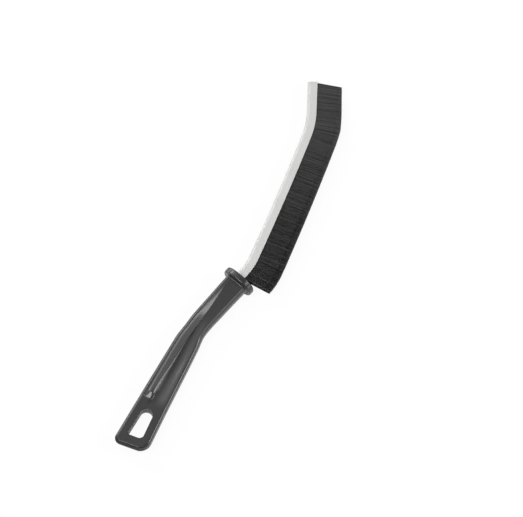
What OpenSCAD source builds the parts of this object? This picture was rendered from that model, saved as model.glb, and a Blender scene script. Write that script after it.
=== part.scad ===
// Crevice brush: a bent, moulded handle that holds a long bristle strip set on edge.
// The strip is a white channel bent at its heel and its toe. Bristles, folded round
// a wire inside it, stand out of its mouth. Long axis X, bristles point to -Y, and the
// plane that the brush bends in is level.

/* [Handle] */
// Length of the grip, from the butt to the corner of the bend
grip_l = 79.4; // [60:0.5:120]
// Length of the neck, from the corner of the bend to the middle of the collar
neck_l = 37.7; // [30:0.5:60]
// Angle that the neck turns down from the grip
neck_turn = 13.5; // [5:0.5:25]
// Radius of the bend between grip and neck, on the middle line
bend_r = 100; // [60:1:120]
// Width of the butt end
butt_w = 20.7; // [17:0.1:26]
// Width where the grip starts to bend
grip_end_w = 15.1; // [12:0.1:20]
// Width at the narrowest place, on the bend
waist_w = 13.2; // [10.5:0.1:16]
// Width of the neck at the collar
neck_w = 13.6; // [11:0.1:17]
// Thickness of the neck and of the rib along the grip
neck_t = 10; // [9:0.1:14]
// Thickness of the flat land round the hanging slot
land_t = 8; // [5:0.1:9]
// Depth of the thumb hollow under the rib
hollow_d = 2.1; // [0.5:0.1:2.5]

/* [Hanging slot] */
// Length of the slot
slot_l = 18; // [12:0.1:22]
// Width of the slot at its butt end
slot_butt_w = 8.8; // [6:0.1:11]
// Width of the slot at its round end
slot_neck_w = 7.4; // [5:0.1:9]
// Wall left between the slot and the butt end
slot_wall = 5.5; // [3:0.1:9]

/* [Collar] */
// Width of the collar across the neck
collar_w = 19.6; // [16:0.1:26]
// Depth of the collar through the brush
collar_d = 17.5; // [13:0.1:22]
// Thickness of the collar along the neck
collar_t = 4; // [2:0.1:5]

/* [Channel strip] */
// Height of the channel, from its mouth to its back
spine_h = 5.6; // [5:0.1:6.5]
// Thickness of the channel's two side walls
spine_wall = 0.8; // [0.6:0.05:1.2]
// Radius of the channel's two back shoulders
shoulder_r = 2; // [1:0.1:2.4]
// Distance of the channel's mouth from the middle line of the neck
mouth_drop = 1.75; // [1:0.05:2.2]
// Length of the channel that is held in the handle
tang_l = 16; // [10:0.5:24]
// Straight run from the middle of the collar to the heel bend
heel_run = 5.5; // [4:0.1:20]
// Angle of the heel bend
heel_turn = 17.6; // [0.5:0.1:30]
// Radius of the heel bend
heel_r = 38; // [30:1:90]
// Length of the long run between the two bends
body_run = 78.2; // [50:0.5:120]
// Angle that the long run turns over its whole length
body_turn = 2.6; // [0.5:0.1:6]
// Angle of the toe bend
toe_turn = 19.2; // [5:0.1:30]
// Radius of the toe bend
toe_r = 51; // [40:1:90]
// Straight run at the toe
toe_run = 17.9; // [8:0.1:40]

/* [Bristles] */
// Side of one square strand at its root
strand_w = 0.75; // [0.6:0.01:0.8]
// Side of one strand at its tip
tip_w = 0.5; // [0.3:0.01:0.55]
// Distance from strand to strand along the strip, evened out to fill its length
strand_pitch = 1.1; // [1.05:0.01:1.3]
// Distance from row to row across the strip
row_pitch = 1.05; // [1:0.01:1.2]
// Rows of strands across the strip
row_count = 4; // [3:1:4]
// Length of the strands that shows at the heel end
heel_strand_l = 16.6; // [10:0.1:24]
// Length of the strands that shows past the heel bend
body_strand_l = 15.85; // [10:0.05:24]
// Length of the strands that shows at the toe end
toe_strand_l = 14.25; // [10:0.05:24]
// Distance that a strand's tip strays from its own line
tip_stray = 0.15; // [0:0.01:0.16]
// Diameter of the wire that the bristles fold round
wire_d = 1.4; // [0.8:0.1:1.6]

/* [Hidden] */
// Overrun of a cut past the face that it opens
cut_over = 1;
// Running gap round the tang in its socket
tang_fit = 0.2;
// Gap between the folded bristle root and what holds it
root_fit = 0.1;
// Gap between the collar and the first strand
heel_gap = 0.5;
// Bare channel left at the toe, past the last strand
toe_margin = 0.2;
// Depth of the fused bristle root inside the channel's mouth
root_inset = 0.5;
// Thickness of the fused bristle root
root_t = 1.6;
// Bare wire end left inside each end of the channel
wire_end = 1;
// Radius of the butt's corner on the bristle side and on the back side
butt_r = 6;
butt_back_r = 3;
// Rounding of the butt's top and bottom edges
butt_edge_r = 0.5;
// Slope of the butt end across the handle, as a share of its width
butt_slope_share = 0.13;
// Radius of the slot's two butt corners
slot_corner_r = 1.2;
// Rounding of the collar's rim and of the corner where the neck meets it
rim_r = 1;
fillet_r = 0.8;
// Squareness of the collar's outline: 2 is an oval
collar_power_share = 2.5;
// Width of the steep step between rib and hollow, and the least width of the rib
step_w = 1.05;
rib_min_w = 0.5;
// Bevel on the rib's front edge, and its tilt
bevel_w = 1.3;
bevel_tilt = 27;
// Width of the slope from the rib's back edge to the shoulder, on the rib and on the land
riser_w = 1.2;
land_riser_w = 0.2;
// Fall of the shoulder outside the rib, and its least fall
shoulder_fall = 0.38;
shoulder_min_fall = 0.05;
// Height that the rim beside the hollow stands under the rib
rim_fall = 1;
// Flat land between the slot and the hollow, and from there to the rib's tip
land_past_slot = 2;
rib_tip_gap = 3.4;
// Lengths over which the rib and its shoulder rise, and the hollow runs out on each side
rib_rise_l = 4.2;
shoulder_start_l = 2;
shoulder_rise_l = 12;
hollow_start_l = 9;
hollow_end_l = 42;

bend_l = bend_r * neck_turn * PI / 180;
bend_tangent = bend_r * tan(neck_turn / 2);
handle_runs = [[grip_l - bend_tangent, 0], [bend_l, -neck_turn], [neck_l - bend_tangent, 0]];
handle_l = grip_l + neck_l - 2 * bend_tangent + bend_l;
bend_start = grip_l - bend_tangent;
bend_mid = bend_start + bend_l / 2;
bend_end = bend_start + bend_l;
land_l = slot_wall + slot_l + land_past_slot;
rib_tip = land_l + rib_tip_gap;
neck_end = handle_l - collar_t / 2;

heel_l = heel_r * heel_turn * PI / 180;
toe_l = toe_r * toe_turn * PI / 180;
strip_runs = [
    [heel_run, 0], [heel_l, heel_turn], [body_run, body_turn], [toe_l, toe_turn], [toe_run, 0]
];
heel_end = heel_run + heel_l;
toe_start = heel_end + body_run;
toe_bend_end = toe_start + toe_l;
strip_l = toe_bend_end + toe_run;
body_heading = -neck_turn + heel_turn + body_turn / 2;

pack_w = (row_count - 1) * row_pitch + strand_w;
cavity_w = pack_w + 2 * root_fit;
spine_w = cavity_w + 2 * spine_wall;
wire_depth = root_inset + root_t + root_fit + wire_d / 2;
cavity_h = wire_depth + wire_d / 2 + root_fit;
bristle_start = collar_t / 2 + heel_gap;
bristled_l = strip_l - toe_margin - bristle_start - strand_w;
columns = floor(bristled_l / strand_pitch) + 1;
column_pitch = bristled_l / (columns - 1);
section_shares = [0, 0.15, 0.35, 0.55, 0.75, 1];
// Share of the strip's turning that the strands follow, along the strip
lean_shares = [
    [0, 0.24], [heel_end, 0.7], [heel_end + body_run / 4, 1], [toe_start, 1.3],
    [toe_bend_end, 0.8], [strip_l, 0.54]
];
strand_lengths = [
    [0, heel_strand_l], [heel_end, body_strand_l],
    [toe_start, body_strand_l + (toe_strand_l - body_strand_l) * body_run / (strip_l - heel_end)],
    [strip_l, toe_strand_l]
];

// Pose [x, y, heading] at the end of a run [length, turn] that starts at a pose
function run_end(pose, run) =
    run[1] == 0
        ? [pose[0] + run[0] * cos(pose[2]), pose[1] + run[0] * sin(pose[2]), pose[2]]
        : let (r = run[0] * 180 / (PI * run[1]), h = pose[2] + run[1])
            [pose[0] + r * (sin(h) - sin(pose[2])), pose[1] - r * (cos(h) - cos(pose[2])), h];
// Pose at a distance along a chain of runs
function walk(runs, s, pose, i = 0) =
    i == len(runs) - 1 || s <= runs[i][0]
        ? run_end(pose, [s, runs[i][1] * s / runs[i][0]])
        : walk(runs, s - runs[i][0], run_end(pose, runs[i]), i + 1);
// Point at an offset to the left of a pose
function left_of(pose, v) = [pose[0] - v * sin(pose[2]), pose[1] + v * cos(pose[2])];
function ease(t) = t <= 0 ? 0 : t >= 1 ? 1 : t * t * (3 - 2 * t);
function mix(a, b, t) = a + (b - a) * t;

// The collar's middle is the model's own zero until the whole brush is set on its base
handle_far = walk(handle_runs, handle_l, [0, 0, 0]);
handle_home = [-handle_far[0], -handle_far[1], 0];
function handle_pose(s) = walk(handle_runs, s, handle_home);
strip_home = concat(left_of([0, 0, -neck_turn], -mouth_drop), [-neck_turn]);
function strip_pose(s) =
    s < 0 ? run_end(strip_home, [s, 0]) : walk(strip_runs, s, strip_home);

// Handle outline
function taper_w(s) =
    s < bend_start ? mix(butt_w, grip_end_w, s / bend_start)
    : s < bend_mid ? mix(grip_end_w, waist_w, ease((s - bend_start) / (bend_mid - bend_start)))
    : mix(waist_w, neck_w, (s - bend_mid) / (handle_l - bend_mid));
function corner_in(s, r) = s >= r ? 0 : r - sqrt(r * r - (r - s) * (r - s));
function back_w(s) = taper_w(s) / 2 - corner_in(s, butt_back_r);
function front_w(s) = taper_w(s) / 2 * lookup(place_of(s), front_shares) - corner_in(s, butt_r);

// Places along the face: 0 at the rib's tip, 1 and 2 where the bend starts and ends, 3 at the collar
function place_of(s) =
    s < bend_start ? (s - rib_tip) / (bend_start - rib_tip)
    : s < bend_end ? 1 + (s - bend_start) / bend_l
    : 2 + (s - bend_end) / (neck_end - bend_end);

// Lines along the face by place, as shares of the handle's half width
shoulder_share = 0.86;
crest_shares = [
    [0, 0.64], [0.05, 0.63], [0.15, 0.61], [0.4, 0.633], [0.8, 0.634], [1.1, 0.61],
    [1.35, 0.6], [1.55, 0.57], [2, 0.57], [3, 0.62]
];
ridge_shares = [
    [0, 0.45], [0.05, 0.44], [0.11, 0.38], [0.18, 0.335], [0.4, 0.24], [0.7, 0.14], [1, 0.09],
    [1.5, 0.02], [1.87, 0.05], [2, 0.1], [2.25, 0.22], [2.54, 0.39], [2.75, 0.55], [3, 0.7]
];
front_shares = [
    [-1, 0.99], [0, 0.97], [0.4, 0.98], [0.75, 0.985], [1, 0.97], [1.2, 0.955], [1.5, 0.935],
    [2, 0.97], [2.6, 0.985], [3, 1.01]
];
// Place where the face ends, as a share of the front wall's own place
rim_shares = [[-1, 0.84], [0.4, 0.8], [1, 0.765], [1.5, 0.73], [2, 0.73], [3, 0.74]];
// Tilts, in degrees, of the rib's top facet and of the front side where it leaves the face
facet_tilts = [
    [0, 0], [0.08, 1], [0.3, 6], [1, 7], [1.7, 9], [2, 17], [2.3, 19], [2.5, 20], [2.75, 9], [3, 0]
];
edge_tilts = [[1.1, 0], [1.5, 38]];
// Shares of the shoulder's fall, the bevel's width and the step's width
fall_shares = [[2, 1], [2.4, 0.8], [2.7, 0.16], [3, 0.16]];
bevel_shares = [[0, 0.3], [0.08, 0.8], [0.16, 1], [0.36, 1], [0.68, 0.56], [1, 0.2], [3, 0.1]];
step_shares = [[0, 0.9], [0.2, 1.25], [0.57, 1.1], [2, 1]];

// Heights on the handle's face
function land_share(s) = 1 - ease((s - rib_tip) / rib_rise_l);
function rib_z(s) =
    mix(neck_t, land_t, land_share(s)) / 2 - corner_in(s, butt_edge_r);
function shoulder_z(s, drop) =
    min(
        rib_z(s) - drop - shoulder_min_fall * (1 - land_share(s)),
        mix(
            land_t / 2,
            neck_t / 2 - drop - shoulder_fall * lookup(place_of(s), fall_shares),
            ease((s - rib_tip + shoulder_start_l) / shoulder_rise_l)
        ) - corner_in(s, butt_edge_r)
    );
function hollow_share(s) =
    ease((s - land_l) / hollow_start_l) * (1 - ease((s - bend_end + hollow_end_l) / hollow_end_l));
function low_share(s) = 1 - ease((s - bend_start) / (bend_end - bend_start));
function flat_z(s) =
    mix(neck_t / 2, land_t / 2, low_share(s)) - corner_in(s, butt_edge_r);
function rim_z(s) = flat_z(s) + (neck_t / 2 - rim_fall - land_t / 2) * hollow_share(s);
function floor_z(s) =
    mix(flat_z(s), neck_t / 2 - hollow_d, hollow_share(s));
// The hollow rises to the rim from this share of its width on, the later the larger the power
hollow_low_share = 0.15;
hollow_power_share = 1.15;
function hollow_z(s, t) =
    mix(
        floor_z(s),
        rim_z(s),
        ease(pow(max(0, t - hollow_low_share) / (1 - hollow_low_share), hollow_power_share))
    );

// Half ring of the handle's section, from its back edge over the face to its front edge
side_steps = 4;
hollow_steps = 7;
function back_arc(s, w, z) =
    [for (i = [0:side_steps - 1])
        let (a = 90 * i / side_steps)
            [w * mix(shoulder_share, 1, cos(a)), z * sin(a)]];
function front_wall(w, rim, z, lean) =
    let (r = w * (1 - rim) / (1 - sin(lean)))
    concat(
        [for (i = [1:side_steps])
            let (a = mix(lean, 90, i / side_steps))
                [r * (1 - sin(a)) - w, z - r * (cos(lean) - cos(a))]],
        [[-w, 0]]);
function face_ring(s) =
    let (
        p = place_of(s),
        wb = back_w(s),
        wf = front_w(s),
        rib = rib_z(s),
        rim = lookup(p, rim_shares),
        crest = wb * lookup(p, crest_shares),
        ridge = min(wb * lookup(p, ridge_shares), crest - rib_min_w),
        drop = tan(lookup(p, facet_tilts)) * (crest - ridge) * (1 - land_share(s)),
        side_z = shoulder_z(s, drop),
        riser = mix(riser_w, land_riser_w, land_share(s)) / 2,
        bevel = bevel_w * lookup(p, bevel_shares) / 2,
        bevel_fall = 2 * bevel * tan(bevel_tilt) * hollow_share(s),
        foot = ridge - bevel - step_w * lookup(p, step_shares)
    )
    concat(
        back_arc(s, wb, side_z),
        [
            [wb * shoulder_share, side_z],
            [crest + riser, side_z],
            [crest - riser, rib - drop],
            [ridge + bevel, rib],
            [ridge - bevel, max(rib - bevel_fall, floor_z(s))]
        ],
        [for (i = [0:hollow_steps])
            let (t = i / hollow_steps)
                [mix(foot, -wf * rim, t), hollow_z(s, t)]],
        front_wall(wf, rim, rim_z(s), lookup(p, edge_tilts))
    );
function whole_ring(half) =
    concat([for (p = half) [p[0], -p[1]]], [for (i = [len(half) - 2:-1:1]) half[i]]);

// Collar ring in the directions of the neck's own ring
function collar_point(p, inset) =
    let (
        d = norm(p),
        c = p[0] / d,
        k = p[1] / d,
        a = collar_w / 2 - inset,
        b = collar_d / 2 - inset,
        e = collar_power_share,
        r = pow(pow(abs(c) / a, e) + pow(abs(k) / b, e), -1 / e)
    )
    [r * c, r * k];
function collar_ring(inset) =
    [for (p = whole_ring(face_ring(neck_end))) collar_point(p, inset)];

function lay_ring(s, ring, slope) =
    let (p = handle_pose(s))
        [for (q = ring)
            let (a = left_of(p, q[0]))
                [
                    a[0] - slope * q[0] * cos(p[2]),
                    a[1] - slope * q[0] * sin(p[2]),
                    q[1]
                ]];
butt_steps = 6;
stations = concat(
    [for (i = [0:butt_steps]) butt_r * (1 - cos(90 * i / butt_steps))],
    [for (i = [1:4]) mix(butt_r, land_l, i / 4)],
    [for (i = [1:3]) mix(land_l, rib_tip, i / 3)],
    [for (i = [1:7]) mix(rib_tip, rib_tip + 2 * rib_rise_l, i / 7)],
    [for (i = [1:7]) mix(rib_tip + 2 * rib_rise_l, bend_start, i / 7)],
    [for (i = [1:10]) mix(bend_start, bend_end, i / 10)],
    [for (i = [1:8]) mix(bend_end, neck_end - fillet_r, i / 8)]
);
function slope_at(s) = butt_slope_share * (1 - ease(s / (slot_wall + slot_l)));
rim_steps = 4;
fillet_steps = 2;
handle_rings = concat(
    [for (s = stations) lay_ring(s, whole_ring(face_ring(s)), slope_at(s))],
    [for (i = [1:fillet_steps])
        let (a = 90 * i / fillet_steps, grow = fillet_r * (1 - cos(a)))
            lay_ring(
                neck_end - fillet_r * (1 - sin(a)),
                [for (p = whole_ring(face_ring(neck_end))) p * (1 + grow / norm(p))],
                0)],
    [for (i = [0:rim_steps])
        let (a = 90 * i / rim_steps)
            lay_ring(neck_end + rim_r * (1 - cos(a)), collar_ring(rim_r * (1 - sin(a))), 0)],
    [for (i = [0:rim_steps])
        let (a = 90 * i / rim_steps)
            lay_ring(neck_end + collar_t - rim_r * (1 - sin(a)), collar_ring(rim_r * (1 - cos(a))), 0)]
);

// Closed solid through rings of equal count. A cap is the triangles that fill one ring
function round_cap(n) = [for (j = [1:n - 2]) [0, j, j + 1]];
module loft(rings, cap) {
    n = len(rings[0]);
    m = len(rings);
    faces = concat(
        [for (i = [0:m - 2]) for (j = [0:n - 1])
            let (k = (j + 1) % n)
                each [[i * n + j, i * n + k, i * n + n + j], [i * n + k, i * n + n + k, i * n + n + j]]],
        [for (t = cap) [t[2], t[1], t[0]]],
        [for (t = cap) [for (j = t) (m - 1) * n + j]]);
    polyhedron([for (ring = rings) each ring], faces, convexity = 8);
}

// Slot outline: round towards the neck, cornered towards the butt
slot_end_steps = 10;
slot_outline = concat(
    [for (i = [0:slot_end_steps])
        let (a = -90 + 180 * i / slot_end_steps, r = slot_neck_w / 2)
            [slot_wall + slot_l - r * (1 - cos(a)), r * sin(a)]],
    [for (i = [0:3])
        let (a = 90 + 90 * i / 3, r = slot_corner_r)
            [slot_wall + r + r * cos(a), slot_butt_w / 2 - r + r * sin(a)]],
    [for (i = [0:3])
        let (a = 180 + 90 * i / 3, r = 2 * slot_corner_r)
            [slot_wall + r + r * cos(a), -slot_butt_w / 2 + r + r * sin(a)]]
);
module hanging_slot() {
    translate([handle_home[0], handle_home[1], -land_t / 2 - cut_over])
        linear_extrude(land_t + 2 * cut_over)
            polygon([for (p = slot_outline) [p[0] - slope_at(p[0]) * p[1], p[1]]]);
}
module tang_socket() {
    depth = tang_l + tang_fit;
    rotate([0, 0, -neck_turn])
        translate([-depth, -mouth_drop - tang_fit, -spine_w / 2 - tang_fit])
            cube([depth + collar_t + cut_over, spine_h + 2 * tang_fit, spine_w + 2 * tang_fit]);
}
module handle() {
    color("#4b4b4d")
        set_on_base()
            difference() {
                loft(handle_rings, round_cap(len(handle_rings[0])));
                hanging_slot();
                tang_socket();
            }
}

// Section of the channel: its mouth at zero, its back upwards, its width level
shoulder_steps = 6;
channel_section = concat(
    [[0, -spine_w / 2]],
    [[0, -cavity_w / 2], [cavity_h, -cavity_w / 2], [cavity_h, cavity_w / 2], [0, cavity_w / 2]],
    [[0, spine_w / 2]],
    [for (i = [0:shoulder_steps])
        let (a = 90 * i / shoulder_steps)
            [spine_h - shoulder_r + shoulder_r * sin(a), spine_w / 2 - shoulder_r * (1 - cos(a))]],
    [for (i = [0:shoulder_steps])
        let (a = 90 - 90 * i / shoulder_steps)
            [spine_h - shoulder_r + shoulder_r * sin(a), -spine_w / 2 + shoulder_r * (1 - cos(a))]]
);
// The cap's triangles meet at the two inner corners of the cavity
channel_cap = concat(
    [for (j = [4:6 + shoulder_steps]) [3, j, j + 1]],
    [[3, 7 + shoulder_steps, 2]],
    [for (j = [7 + shoulder_steps:6 + 2 * shoulder_steps]) [2, j, j + 1]],
    [[2, 7 + 2 * shoulder_steps, 0], [2, 0, 1]]);
// Places along the strip between two of its points, closer together on the bends
bend_steps = 6;
function strip_marks(s0, s1) =
    let (
        bends = [
            [for (i = [0:bend_steps]) mix(heel_run, heel_end, i / bend_steps)],
            [for (i = [1:bend_steps]) mix(heel_end, toe_start, i / bend_steps)],
            [for (i = [1:bend_steps]) mix(toe_start, toe_bend_end, i / bend_steps)]
        ]
    )
    concat([s0, 0], [for (run = bends) each run], [s1]);
// Carries a section [height over the mouth, level place] along the strip
module along_strip(s0, s1, section, cap) {
    loft([for (s = strip_marks(s0, s1))
        let (pose = strip_pose(s))
            [for (q = section)
                let (p = left_of(pose, q[0])) [p[0], p[1], q[1]]]],
        cap);
}
module spine() {
    color("#e9e9e6")
        set_on_base()
            along_strip(-tang_l, strip_l, channel_section, channel_cap);
}
wire_sides = 12;
wire_section = [for (i = [0:wire_sides - 1])
    let (a = 360 * i / wire_sides)
        [wire_depth + wire_d / 2 * cos(a), -wire_d / 2 * sin(a)]];
module core_wire() {
    color("#a8abb0")
        set_on_base()
            along_strip(-tang_l + wire_end, strip_l - wire_end, wire_section, round_cap(wire_sides));
}

// Bristles
function column_s(c) = bristle_start + c * column_pitch;
function strand_lean(s) =
    body_heading + (strip_pose(s)[2] - body_heading) * lookup(s, lean_shares);
// Extra length towards the corner that the trimmed tips make at the toe bend, and its share
corner_share = 0.45;
function corner_extra(s) =
    let (
        turned = (s - toe_start) / toe_l * toe_turn,
        a = max(0, min(turned, toe_turn - turned))
    )
    corner_share * (toe_r + toe_strand_l) * (1 / cos(a) - 1);
function strand_length(s) = lookup(s, strand_lengths) + corner_extra(s);
// Tip corners of the strand in a column and a row
function strand_tip(c, row) =
    let (
        s = column_s(c) + strand_w / 2,
        f = strand_lean(s),
        l = root_inset + strand_length(s),
        stray = rands(-tip_stray, tip_stray, 2, 17 * c + row),
        p = left_of(strip_pose(s), root_inset),
        x = p[0] + l * sin(f) + stray[0] * cos(f),
        y = p[1] - l * cos(f) + stray[0] * sin(f),
        z = -pack_w / 2 + row * row_pitch + strand_w / 2 + stray[1],
        h = tip_w / 2
    )
    [for (q = [[-h, -h], [-h, h], [h, h], [h, -h]])
        [x + q[0] * cos(f), y + q[0] * sin(f), z + q[1]]];
module bristle_section(part) {
    first = round(columns * section_shares[part]);
    count = round(columns * section_shares[part + 1]) - first;
    lines = 2 * row_count;
    marks = 2 * count;
    function mark_s(m) = column_s(first + floor(m / 2)) + (m % 2) * strand_w;
    function line_z(k) = -pack_w / 2 + floor(k / 2) * row_pitch + (k % 2) * strand_w;
    function floor_id(m, k) = m * lines + k;
    function top_id(m, k) = marks * lines + 2 * m + k;
    function tip_id(c, row, q) = marks * (lines + 2) + (c * row_count + row) * 4 + q;
    function quad(a, b, c, d) = [[a, b, c], [a, c, d]];
    points = concat(
        [for (m = [0:marks - 1]) for (k = [0:lines - 1])
            let (p = left_of(strip_pose(mark_s(m)), root_inset)) [p[0], p[1], line_z(k)]],
        [for (m = [0:marks - 1]) for (k = [0, lines - 1])
            let (p = left_of(strip_pose(mark_s(m)), root_inset + root_t)) [p[0], p[1], line_z(k)]],
        [for (c = [0:count - 1]) for (row = [0:row_count - 1]) each strand_tip(first + c, row)]);
    faces = concat(
        [for (m = [0:marks - 2]) for (k = [0:lines - 2])
            if (m % 2 == 1 || k % 2 == 1)
                each quad(floor_id(m, k), floor_id(m + 1, k), floor_id(m + 1, k + 1), floor_id(m, k + 1))],
        [for (m = [0:marks - 2])
            each concat(
                quad(floor_id(m, 0), top_id(m, 0), top_id(m + 1, 0), floor_id(m + 1, 0)),
                quad(floor_id(m, lines - 1), floor_id(m + 1, lines - 1), top_id(m + 1, 1), top_id(m, 1)),
                quad(top_id(m, 0), top_id(m, 1), top_id(m + 1, 1), top_id(m + 1, 0)))],
        [for (k = [0:lines - 2])
            each [
                [top_id(0, 0), floor_id(0, k), floor_id(0, k + 1)],
                [top_id(marks - 1, 0), floor_id(marks - 1, k + 1), floor_id(marks - 1, k)]
            ]],
        [
            [top_id(0, 0), floor_id(0, lines - 1), top_id(0, 1)],
            [top_id(marks - 1, 0), top_id(marks - 1, 1), floor_id(marks - 1, lines - 1)]
        ],
        [for (c = [0:count - 1]) for (row = [0:row_count - 1])
            let (
                g = [
                    floor_id(2 * c, 2 * row), floor_id(2 * c, 2 * row + 1),
                    floor_id(2 * c + 1, 2 * row + 1), floor_id(2 * c + 1, 2 * row)
                ],
                t = [for (q = [0:3]) tip_id(c, row, q)]
            )
            each concat(
                [for (q = [0:3]) each quad(g[q], t[q], t[(q + 1) % 4], g[(q + 1) % 4])],
                quad(t[0], t[3], t[2], t[1]))]);
    color("#232325")
        set_on_base()
            polyhedron(points, [for (f = faces) [f[2], f[1], f[0]]], convexity = 10);
}
module bristles_heel() {
    bristle_section(0);
}
module bristles_lower() {
    bristle_section(1);
}
module bristles_middle() {
    bristle_section(2);
}
module bristles_upper() {
    bristle_section(3);
}
module bristles_toe() {
    bristle_section(4);
}

// Base point: the middle of the whole outline, level with the underside of the collar
tips = [for (c = [0:columns - 1]) for (p = strand_tip(c, 0)) p];
toe_back = left_of(strip_pose(strip_l), spine_h);
all_points = concat(
    tips,
    [for (ring = handle_rings) each ring],
    [[toe_back[0], toe_back[1], 0]]);
low = [for (k = [0:1]) min([for (p = all_points) p[k]])];
high = [for (k = [0:1]) max([for (p = all_points) p[k]])];
module set_on_base() {
    translate([-(low[0] + high[0]) / 2, -(low[1] + high[1]) / 2, collar_d / 2])
        children();
}

handle();
spine();
core_wire();
bristles_heel();
bristles_lower();
bristles_middle();
bristles_upper();
bristles_toe();
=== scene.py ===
"""Crevice brush: the visible pieces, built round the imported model.

Sizes are millimetres and degrees, as in the part's source, where no comment says otherwise. MM
turns millimetres into metres.
"""
import math

import bmesh
import bpy
import numpy as np
from mathutils import Matrix, Vector


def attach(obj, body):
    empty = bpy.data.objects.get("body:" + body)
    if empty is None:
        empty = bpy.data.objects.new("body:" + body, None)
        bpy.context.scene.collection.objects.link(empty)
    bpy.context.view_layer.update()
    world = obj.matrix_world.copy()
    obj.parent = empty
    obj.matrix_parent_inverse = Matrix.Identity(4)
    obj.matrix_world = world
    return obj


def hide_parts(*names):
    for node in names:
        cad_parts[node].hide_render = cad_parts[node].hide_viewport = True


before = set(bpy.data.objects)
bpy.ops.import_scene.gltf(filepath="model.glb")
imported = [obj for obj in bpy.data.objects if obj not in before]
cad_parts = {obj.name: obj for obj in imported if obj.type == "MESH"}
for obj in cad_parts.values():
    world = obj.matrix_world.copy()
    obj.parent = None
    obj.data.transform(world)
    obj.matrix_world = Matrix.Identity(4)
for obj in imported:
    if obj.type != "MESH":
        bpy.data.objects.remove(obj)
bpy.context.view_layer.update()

MM = 0.001

# Handle: lengths along its middle line, widths, and thicknesses through the brush
GRIP_L = 79.4
NECK_L = 37.7
NECK_TURN = 13.5
BEND_R = 100.0
BUTT_W = 20.7
GRIP_END_W = 15.1
WAIST_W = 13.2
NECK_W = 13.6
NECK_T = 10.0
LAND_T = 8.0
HOLLOW_D = 2.1

# Butt end: its front and back corner, its edge, its slope as a share of the width, and how far the
# end face stands in from the full length
BUTT_R = 6.0
BUTT_BACK_R = 3.0
BUTT_EDGE_R = 0.3
BUTT_SLOPE = 0.13
BUTT_TRIM = 0.1

# Hanging slot
SLOT_L = 18.0
SLOT_BUTT_W = 8.8
SLOT_NECK_W = 7.4
SLOT_WALL = 5.5
SLOT_CORNER_R = 1.2
SLOT_RIM_R = 0.2
# Flat land between the slot and the hollow, and from there to the rib's tip
LAND_PAST_SLOT = 2.0
RIB_TIP_GAP = 3.4

# Collar
COLLAR_W = 19.6
COLLAR_D = 17.45
COLLAR_T = 4.0
# Squareness of the collar's outline: 2 is an oval
COLLAR_POWER = 2.5
RIM_R = 1.0
FILLET_R = 0.8

# Channel strip
SPINE_H = 5.6
SPINE_WALL = 0.8
SHOULDER_R = 2.0
LIP_R = 0.2
CAVITY_R = 0.3
MOUTH_DROP = 1.75
TANG_L = 16.0
TANG_FIT = 0.2
HEEL_RUN = 5.5
HEEL_TURN = 17.6
HEEL_R = 38.0
BODY_RUN = 78.2
BODY_TURN = 2.6
TOE_TURN = 19.2
TOE_R = 51.0
TOE_RUN = 17.2

# Bristles and wire. Insets and depths go in from the channel's mouth
PACK_W = 3.9
ROOT_FIT = 0.1
ROOT_INSET = 0.5
WIRE_D = 1.4
WIRE_DEPTH = 2.9
HEEL_STRAND_L = 16.6
BODY_STRAND_L = 15.85
TOE_STRAND_L = 14.25
HEEL_GAP = 0.5
TOE_MARGIN = 0.2
# Share of the sharp corner that the trimmed tips make at the toe bend
CORNER_SHARE = 0.45

# Overrun of a cutter past the face that it opens, and the distance at which points are merged
CUT_OVER = 1.0
MERGE_DIST = 0.001 * MM
# Angle from which an edge of the mouldings is drawn sharp
SHARP_ANGLE = 40.0

# Place of the collar's middle, on the neck's middle line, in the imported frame
COLLAR_MIDDLE = Vector((-6.7041, -0.504384, 8.75))


# Lines and curves ------------------------------------------------------------------

def run_end(pose, length, turn):
    """Pose (x, y, heading) at the end of a run that turns evenly."""
    x, y, heading = pose
    a, b = math.radians(heading), math.radians(heading + turn)
    if turn == 0:
        return (x + length * math.cos(a), y + length * math.sin(a), heading)
    r = length / math.radians(turn)
    return (x + r * (math.sin(b) - math.sin(a)), y - r * (math.cos(b) - math.cos(a)),
            heading + turn)


def walk(runs, s, pose):
    """Pose at a distance along a chain of runs (length, turn)."""
    for i, (length, turn) in enumerate(runs):
        if s <= length or i == len(runs) - 1:
            return run_end(pose, s, turn * s / length)
        pose = run_end(pose, length, turn)
        s -= length


def left_of(pose, v):
    """Point (x, y) at an offset to the left of a pose."""
    a = math.radians(pose[2])
    return (pose[0] - v * math.sin(a), pose[1] + v * math.cos(a))


def clamp(t, low=0.0, high=1.0):
    return max(low, min(high, t))


def ease(t):
    """A rise from 0 to 1 that starts and ends softly."""
    t = clamp(t)
    return t * t * (3 - 2 * t)


def even_rise(t, soft=0.25):
    """A rise from 0 to 1 with a steady slope between two soft ends."""
    t = clamp(t)
    if t < soft:
        return t * t / (2 * soft * (1 - soft))
    if t > 1 - soft:
        return 1 - (1 - t) ** 2 / (2 * soft * (1 - soft))
    return (t - soft / 2) / (1 - soft)


def mix(a, b, t):
    return a + (b - a) * t


def lookup(s, table):
    """Value at s of a table of rows (place, value), straight between its rows."""
    return float(np.interp(s, [row[0] for row in table], [row[1] for row in table]))


def flowing(s, table, reach, taps=4):
    """A table's value at s, averaged over a short reach each way so that no corner shows."""
    total = sum(lookup(s + reach * k / taps, table) * (taps + 1 - abs(k))
                for k in range(-taps, taps + 1))
    return total / (taps + 1) ** 2


def spread(a, b, count):
    """Even places after a, up to b."""
    return [mix(a, b, i / count) for i in range(1, count + 1)]


def quarter(count):
    """Even angles after 0, up to a quarter turn."""
    return [math.pi / 2 * i / count for i in range(1, count + 1)]


def arc(x, y, r, start, steps, sweep):
    """Points on an arc about (x, y), from a start angle through a sweep."""
    turns = [math.radians(start + sweep * i / steps) for i in range(steps + 1)]
    return [Vector((x + r * math.cos(a), y + r * math.sin(a))) for a in turns]


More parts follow.
